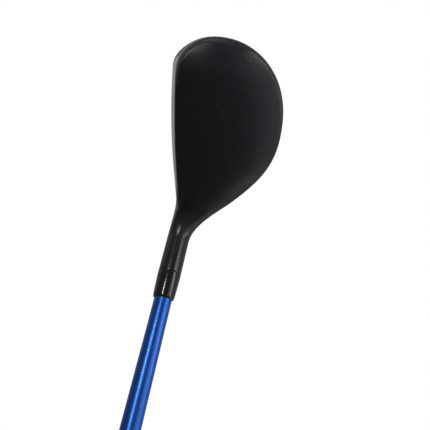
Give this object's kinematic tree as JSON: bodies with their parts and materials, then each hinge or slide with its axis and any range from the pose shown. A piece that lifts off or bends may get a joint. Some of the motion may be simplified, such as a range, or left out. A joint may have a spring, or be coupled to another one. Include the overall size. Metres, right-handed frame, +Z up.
{
  "type": "hybrid golf club",
  "caption": "Hybrid golf club with a hollow black head, satin face insert, bonded hosel, black ferrule, blue tapered shaft and rubber grip.",
  "frame": {"origin": "on the flat of the sole where the club rests on the ground", "axes": "+Z up, -Y towards the target (face side), -X towards the toe; the shaft leans to +X"},
  "size_m": [0.6192, 0.0632, 0.8672],
  "materials": {
    "black_body": "satin black",
    "matte_crown": "matte black",
    "satin_steel": "satin",
    "grey_weight": "turned",
    "dark_screw": "black oxide",
    "clip_steel": "plain",
    "gasket_rubber": "matte",
    "amber_glue": "waxy",
    "brass_plug": "turned",
    "gloss_ferrule": "polished black",
    "metallic_blue": "metallic blue lacquer",
    "tape_tan": "crepe tape",
    "grip_rubber": "textured",
    "cap_rubber": "smooth"
  },
  "bodies": {
    "club": {"head_body": "black_body", "crown": "matte_crown", "face_plate": "satin_steel", "weight_gasket": "gasket_rubber", "hot_melt": "amber_glue", "tip_weight": "brass_plug", "ferrule": "gloss_ferrule", "shaft": "metallic_blue", "grip_tape": "tape_tan", "grip": "grip_rubber", "grip_cap": "cap_rubber"},
    "weight_carrier": {"sole_weight": "grey_weight"},
    "screw": {"weight_screw": "dark_screw", "screw_clip": "clip_steel"}
  },
  "joints": [
    {"name": "weight_travel", "type": "slide", "parent": "club", "child": "weight_carrier", "axis": [0, 0.3239, -0.9461], "range_m": [0, 0.008]},
    {"name": "screw_turn", "type": "hinge", "parent": "weight_carrier", "child": "screw", "pos_m": [-0.004, 0.023, 0.00281], "axis": [0, 0.3239, -0.9461], "continuous": true}
  ],
  "couplings": [
    {"joint": "screw_turn", "follows": "weight_travel", "rad_per_m": 6283.2}
  ]
}
